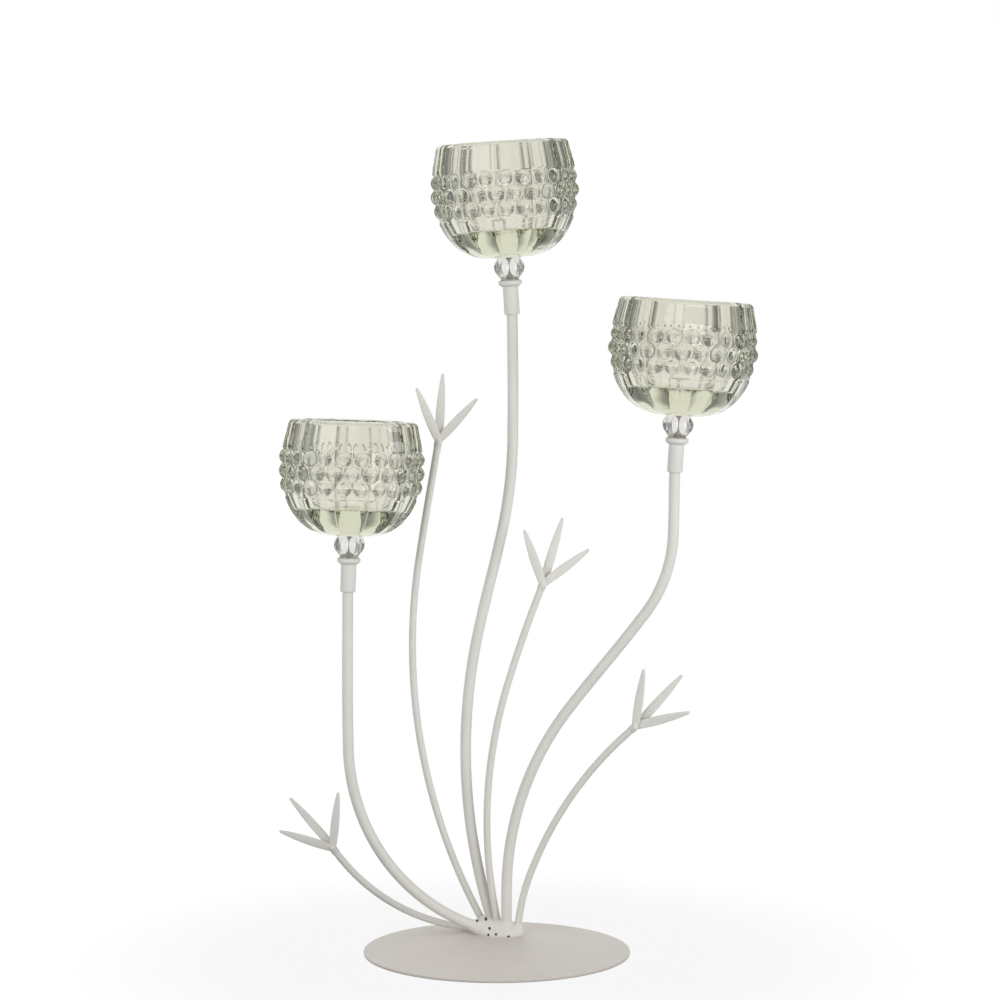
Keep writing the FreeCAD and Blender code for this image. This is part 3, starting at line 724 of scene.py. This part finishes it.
def wire_rings(node, radius):
    """Centres of the rings of a wire's own solid, and the wire's direction at each, from its foot up."""
    mesh = nodes[node].data
    normals = np.array([normal.vector for normal in mesh.corner_normals])
    corners = np.array([loop.vertex_index for loop in mesh.loops])
    centres = node_points(node)[corners] - radius * normals
    cells = np.round(centres / SAME_CENTRE)
    _, group, counts = np.unique(cells, axis=0, return_inverse=True, return_counts=True)
    group = group.ravel()
    rings = []
    for number in np.flatnonzero(counts >= RING_CORNERS):
        members = group == number
        _, spread, axes = np.linalg.svd(normals[members])
        if spread[1] > RING_SPREAD * spread[0]:
            rings.append((centres[members].mean(axis=0), axes[2]))
    rings.sort(key=lambda ring: ring[0][2])
    ordered = [rings.pop(0)]
    while rings:
        last = ordered[-1][0]
        rings.sort(key=lambda ring: np.linalg.norm(ring[0] - last))
        centre, along = rings.pop(0)
        if np.linalg.norm(centre - last) > RING_GAP:
            ordered.append((centre, along))
    return ordered


def wire_line(node):
    """Evenly stepped points on a wire's centre line, with its direction at each."""
    rings = wire_rings(node, WIRE_RADII[node])
    spots = []
    directions = []
    for (start, start_along), (end, end_along) in zip(rings, rings[1:]):
        gap = np.linalg.norm(end - start)
        leave = start_along * np.sign(np.dot(start_along, end - start)) * gap
        arrive = end_along * np.sign(np.dot(end_along, end - start)) * gap
        steps = math.ceil(gap / WIRE_STEP)
        for step in range(steps + (end is rings[-1][0])):
            share = step / steps
            along = 6 * share * (1 - share) * (end - start)
            along += (1 - share) * (1 - 3 * share) * leave + share * (3 * share - 2) * arrive
            spots.append(eased(start, end, leave, arrive, share))
            directions.append(along / np.linalg.norm(along))
    return spots, directions


def tube_mesh(name, spots, directions, radius):
    """Round skin along a line, closed at both ends."""
    turns = np.linspace(0, 2 * math.pi, WIRE_COLUMNS, endpoint=False)
    side = np.cross(directions[0], ASIDE)
    points = []
    for spot, along in zip(spots, directions):
        side = side - along * np.dot(side, along)
        side /= np.linalg.norm(side)
        other = np.cross(along, side)
        points.extend(spot + radius * (math.cos(turn) * side + math.sin(turn) * other) for turn in turns)
    points.append(spots[0])
    points.append(spots[-1])
    mesh = new_mesh(name, points, capped_faces(len(spots), WIRE_COLUMNS))
    mesh.set_sharp_from_angle(angle=SHARP_EDGE)
    return mesh


wire_lines = {node: wire_line(node) for node in WIRE_RADII}


def make_wires():
    for node, radius in WIRE_RADII.items():
        mesh = tube_mesh(node, *wire_lines[node], radius)
        place_mesh(f"bent_{node}", node, mesh, coat)


# Weld mound: its lumps stand round the wires' feet, with pinholes where gas came out of the weld

# Lumps on each wire: how far up from its foot, and how much thicker than the wire
WELD_LUMPS = ((0, 1.6), (2, 1.1), (4.5, 0.5), (7, -0.1))
# Fillings between two wires' feet: the share of the way, how far forward of it, the height on the plate
# and the radius
WELD_FILLINGS = (
    ("stem_left", "stem_right", 0.3, 0, 2, 4.6),
    ("stem_left", "stem_right", 0.6, 0, 2.5, 4.6),
    ("stem_left", "stem_right", 0.25, 3, 0.3, 3.6),
    ("stem_left", "stem_right", 0.6, 3.5, 0.3, 3.8),
    ("stem_left", "stem_right", 1, 3, 0.3, 3.6),
    ("stem_left", "sprig_stem_mid", 0.5, 0, 4, 4.5),
    ("stem_left", "sprig_stem_tall", 0.5, 0, 5.5, 4.6),
    ("stem_left", "sprig_stem_low", 0.6, 0, 4, 3.6),
    ("stem_right", "sprig_stem_mid", 0.5, 0, 5.5, 3.6),
    ("stem_right", "sprig_stem_reed", 0.5, 0, 1.5, 3.4),
    ("stem_right", "sprig_stem_reed", 0.6, 2.5, 0.3, 3.4),
    ("stem_top", "sprig_stem_mid", 0.5, 0, 5, 3.6),
)
# Pinholes on the front: aside from the plate's middle and up from the plate
WELD_PINHOLES = ((-11.4, 8.5), (-6.4, 8.8), (-5.1, 0.9), (-4.3, 4.4), (-0.6, 1.5), (6.7, 0.3))
PINHOLE_RADIUS = 0.8 * MM
PINHOLE_DEPTH = 0.8 * MM
WELD_SINK = 0.3 * MM


def point_at(node, distance):
    """Point on a wire at a distance from its foot."""
    spots, directions = wire_lines[node]
    return spots[0] + directions[0] * distance


def add_pinholes(mesh, plate_top):
    """Pushes small pits into the front of the weld and marks them for the painted shade inside them."""
    pinhole_shade_mark = mesh.attributes.new("pinhole_painted_shade", "FLOAT", "POINT")
    spots = np.array([vertex.co for vertex in mesh.vertices])
    facing = np.array([vertex.normal.y for vertex in mesh.vertices]) < 0
    for aside, height in WELD_PINHOLES:
        away = np.hypot(spots[:, 0] - aside * MM, spots[:, 2] - plate_top - height * MM)
        for index in np.flatnonzero(facing & (away < PINHOLE_RADIUS)):
            depth = 1 - (away[index] / PINHOLE_RADIUS) ** 2
            vertex = mesh.vertices[index]
            vertex.co -= vertex.normal * depth * PINHOLE_DEPTH
            # Marks the pit for its painted shade, strongest at its bottom
            pinhole_shade_mark.data[index].value = min(1, 2 * depth)


def make_base_weld():
    plate_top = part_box("base_plate")[1].z
    balls = []
    for node, radius in WIRE_RADII.items():
        for distance, extra in WELD_LUMPS:
            balls.append((point_at(node, distance * MM), radius + extra * MM))
    for first, second, share, forward, height, radius in WELD_FILLINGS:
        spot = point_at(first, 0) * (1 - share) + point_at(second, 0) * share
        spot[1] -= forward * MM
        spot[2] = plate_top + height * MM
        balls.append((spot, radius * MM))
    mesh = lump_mesh("weld_mound", balls, WELD_GRAIN)
    for vertex in mesh.vertices:
        vertex.co.z = max(vertex.co.z, plate_top - WELD_SINK)
    add_pinholes(mesh, plate_top)
    place_mesh("weld_mound", "base_weld", mesh, coat)


# Sprigs: leaves and the weld that holds them

# Lumps down the wire from its end, and how much thicker than the wire they are
SPRIG_LUMPS = ((0, 0.2), (1.4, -0.2), (2.8, -0.6))
# Lumps along each leaf from its root, and their radii
LEAF_LUMPS = ((1.2, 1.6), (2.8, 1.1))


def make_sprigs():
    for sprig in SPRIGS:
        weld = f"sprig_weld_{sprig}"
        spots, directions = wire_lines[f"sprig_stem_{sprig}"]
        balls = []
        for back, extra in SPRIG_LUMPS:
            balls.append((spots[-1] - directions[-1] * back * MM, THIN_WIRE + extra * MM))
        for side in LEAF_SIDES:
            node = f"leaf_{sprig}_{side}"
            place_mesh(f"stamped_{node}", node, leaf_mesh(node, weld), coat)
            root, _, along, _, _ = leaf_axes(node, weld)
            for step, radius in LEAF_LUMPS:
                balls.append((root + along * step * MM, radius * MM))
        mesh = lump_mesh(weld, balls, SPRIG_GRAIN)
        place_mesh(f"soft_{weld}", weld, mesh, coat)


def dress_washers():
    """The washers keep their CAD shape."""
    for arm in ARMS:
        piece = nodes[f"washer_{arm}"]
        piece.data.materials.clear()
        piece.data.materials.append(silicone)


# Stage: floor, light and camera

def calculated(tree, operation, *values):
    """Result of a Math node whose inputs are sockets or numbers."""
    node = tree.nodes.new("ShaderNodeMath")
    node.operation = operation
    for socket, value in zip(node.inputs, values):
        if isinstance(value, bpy.types.NodeSocket):
            tree.links.new(value, socket)
        else:
            socket.default_value = value
    return node.outputs["Value"]


def faded(tree, value, start, full):
    """Smooth step from 0 at a start value to 1 at a full one."""
    step = tree.nodes.new("ShaderNodeMapRange")
    step.interpolation_type = "SMOOTHSTEP"
    step.inputs["From Min"].default_value = start
    step.inputs["From Max"].default_value = full
    tree.links.new(value, step.inputs["Value"])
    return step.outputs["Result"]


def mixed_shader(tree, factor, first, second):
    mix = tree.nodes.new("ShaderNodeMixShader")
    tree.links.new(factor, mix.inputs["Fac"])
    tree.links.new(first, mix.inputs[1])
    tree.links.new(second, mix.inputs[2])
    return mix.outputs["Shader"]


FLOOR_RADIUS = 1.6
FLOOR_SEGMENTS = 64
FLOOR_DROP = 0.05 * MM
FLOOR_FADE = (0.12, 0.6)
FLOOR_SHADE = 0.22
FLOOR_GLOW = 0.93
FLOOR_BOUNCE = 0.8


def make_floor():
    """White floor that keeps a soft shadow, throws light back up and fades into the white surroundings."""
    rings = [Vector((0, 0)), Vector((FLOOR_RADIUS / 2, 0)), Vector((FLOOR_RADIUS, 0)), Vector((0, 0))]
    mesh = turned_mesh("floor", rings, FLOOR_SEGMENTS)
    material = bpy.data.materials.new("pale_floor")
    material.use_nodes = True
    tree = material.node_tree
    tree.nodes.clear()
    path = tree.nodes.new("ShaderNodeLightPath").outputs
    seen = calculated(tree, "MAXIMUM", path["Is Camera Ray"], path["Is Glossy Ray"])
    seen = calculated(tree, "MAXIMUM", seen, path["Is Transmission Ray"])
    shaded = tree.nodes.new("ShaderNodeBsdfDiffuse")
    shaded.inputs["Color"].default_value = (FLOOR_SHADE, FLOOR_SHADE, FLOOR_SHADE, 1)
    glow = tree.nodes.new("ShaderNodeEmission")
    glow.inputs["Strength"].default_value = FLOOR_GLOW
    white = tree.nodes.new("ShaderNodeAddShader")
    tree.links.new(shaded.outputs["BSDF"], white.inputs[0])
    tree.links.new(glow.outputs["Emission"], white.inputs[1])
    bounce = tree.nodes.new("ShaderNodeBsdfDiffuse")
    bounce.inputs["Color"].default_value = (FLOOR_BOUNCE, FLOOR_BOUNCE, FLOOR_BOUNCE, 1)
    surface = mixed_shader(tree, seen, bounce.outputs["BSDF"], white.outputs["Shader"])
    place = tree.nodes.new("ShaderNodeTexCoord")
    reach = tree.nodes.new("ShaderNodeVectorMath")
    reach.operation = "LENGTH"
    tree.links.new(place.outputs["Object"], reach.inputs[0])
    clear = tree.nodes.new("ShaderNodeBsdfTransparent")
    away = faded(tree, reach.outputs["Value"], *FLOOR_FADE)
    surface = mixed_shader(tree, away, surface, clear.outputs["BSDF"])
    output = tree.nodes.new("ShaderNodeOutputMaterial")
    tree.links.new(surface, output.inputs["Surface"])
    # The glow is only there to be seen: it lights nothing
    material.cycles.emission_sampling = "NONE"
    mesh.materials.append(material)
    floor = bpy.data.objects.new("floor", mesh)
    floor.location.z = -FLOOR_DROP
    bpy.context.scene.collection.objects.link(floor)


AMBIENT = 0.6
# Brightness that glass sees round it, from straight behind the object (0) to behind the camera (1)
STUDIO_STOPS = ((0, 1), (0.06, 1), (0.1, 0.45), (0.16, 0.14), (0.3, 0.25), (0.43, 0.7), (0.57, 0.7),
                (0.7, 0.3), (0.82, 0.2), (0.88, 0.5), (0.93, 0.95), (1, 0.95))
# Heights on the sky, from -1 to 1, where the cards give way to light from above and from below
OVERHEAD = (0.45, 0.75)
OVERHEAD_LEVEL = 0.85
BELOW = (-0.05, -0.2)
BELOW_LEVEL = 1


def make_world():
    """White to the camera. Glass and gloss see pale cards with dark gaps, and matt surfaces a soft light."""
    world = bpy.data.worlds.new("studio")
    bpy.context.scene.world = world
    world.use_nodes = True
    tree = world.node_tree
    tree.nodes.clear()
    place = tree.nodes.new("ShaderNodeTexCoord")
    apart = tree.nodes.new("ShaderNodeSeparateXYZ")
    tree.links.new(place.outputs["Generated"], apart.inputs["Vector"])
    bearing = calculated(tree, "ARCTAN2", apart.outputs["X"], apart.outputs["Y"])
    share = calculated(tree, "DIVIDE", calculated(tree, "ABSOLUTE", bearing), math.pi)
    cards = tree.nodes.new("ShaderNodeValToRGB")
    stops = cards.color_ramp.elements
    while len(stops) < len(STUDIO_STOPS):
        stops.new(0.5)
    for stop, (position, level) in zip(stops, STUDIO_STOPS):
        stop.position = position
        stop.color = (level, level, level, 1)
    tree.links.new(share, cards.inputs["Fac"])
    colour = cards.outputs["Color"]
    for (first, full), level in ((OVERHEAD, OVERHEAD_LEVEL), (BELOW, BELOW_LEVEL)):
        mix = tree.nodes.new("ShaderNodeMixRGB")
        mix.inputs["Color2"].default_value = (level, level, level, 1)
        tree.links.new(faded(tree, apart.outputs["Z"], first, full), mix.inputs["Fac"])
        tree.links.new(colour, mix.inputs["Color1"])
        colour = mix.outputs["Color"]
    shades = {}
    for name, strength in (("white", 1), ("cards", 1), ("ambient", AMBIENT)):
        background = tree.nodes.new("ShaderNodeBackground")
        background.inputs["Color"].default_value = (1, 1, 1, 1)
        background.inputs["Strength"].default_value = strength
        shades[name] = background
    tree.links.new(colour, shades["cards"].inputs["Color"])
    shades = {name: background.outputs["Background"] for name, background in shades.items()}
    path = tree.nodes.new("ShaderNodeLightPath").outputs
    through = calculated(tree, "MAXIMUM", path["Is Glossy Ray"], path["Is Transmission Ray"])
    surroundings = mixed_shader(tree, through, shades["ambient"], shades["cards"])
    surroundings = mixed_shader(tree, path["Is Camera Ray"], surroundings, shades["white"])
    output = tree.nodes.new("ShaderNodeOutputWorld")
    tree.links.new(surroundings, output.inputs["Surface"])


LAMP_AIM = (0, 0, 0.2)
LAMP_SIDE = 1.2
# Name, place, watts and whether the lamp shows in gloss
LAMPS = (
    ("key", (1.3, -1.2, 0.3), 17, True),
    ("fill", (-1.3, -1.0, 0.6), 8.5, True),
    ("back", (-0.4, 1.5, 0.5), 10, False),
)


def make_lamps():
    """Square soft lamps that do not show through the glass."""
    for name, spot, watts, shows_in_gloss in LAMPS:
        data = bpy.data.lights.new(name, "AREA")
        data.shape = "SQUARE"
        data.size = LAMP_SIDE
        data.energy = watts
        lamp = bpy.data.objects.new(name, data)
        lamp.location = spot
        lamp.rotation_euler = (Vector(LAMP_AIM) - Vector(spot)).to_track_quat("-Z", "Y").to_euler()
        lamp.visible_transmission = False
        lamp.visible_glossy = shows_in_gloss
        bpy.context.scene.collection.objects.link(lamp)


CAMERA_SPOT = (1.8 * MM, -1532 * MM, 346.6 * MM)
CAMERA_PITCH = 3.375
CAMERA_LENS = 98.92
CAMERA_SENSOR = 36
CAMERA_REACH = 20


def make_camera():
    data = bpy.data.cameras.new("photo_camera")
    data.lens = CAMERA_LENS
    data.sensor_width = CAMERA_SENSOR
    data.clip_end = CAMERA_REACH
    camera = bpy.data.objects.new("photo_camera", data)
    camera.location = CAMERA_SPOT
    camera.rotation_euler = (math.radians(90 - CAMERA_PITCH), 0, 0)
    bpy.context.scene.collection.objects.link(camera)
    bpy.context.scene.camera = camera


dress_washers()
make_base()
make_wires()
make_base_weld()
make_sprigs()
make_arms()
make_floor()
make_world()
make_lamps()
make_camera()
bpy.context.scene.view_settings.view_transform = "Standard"
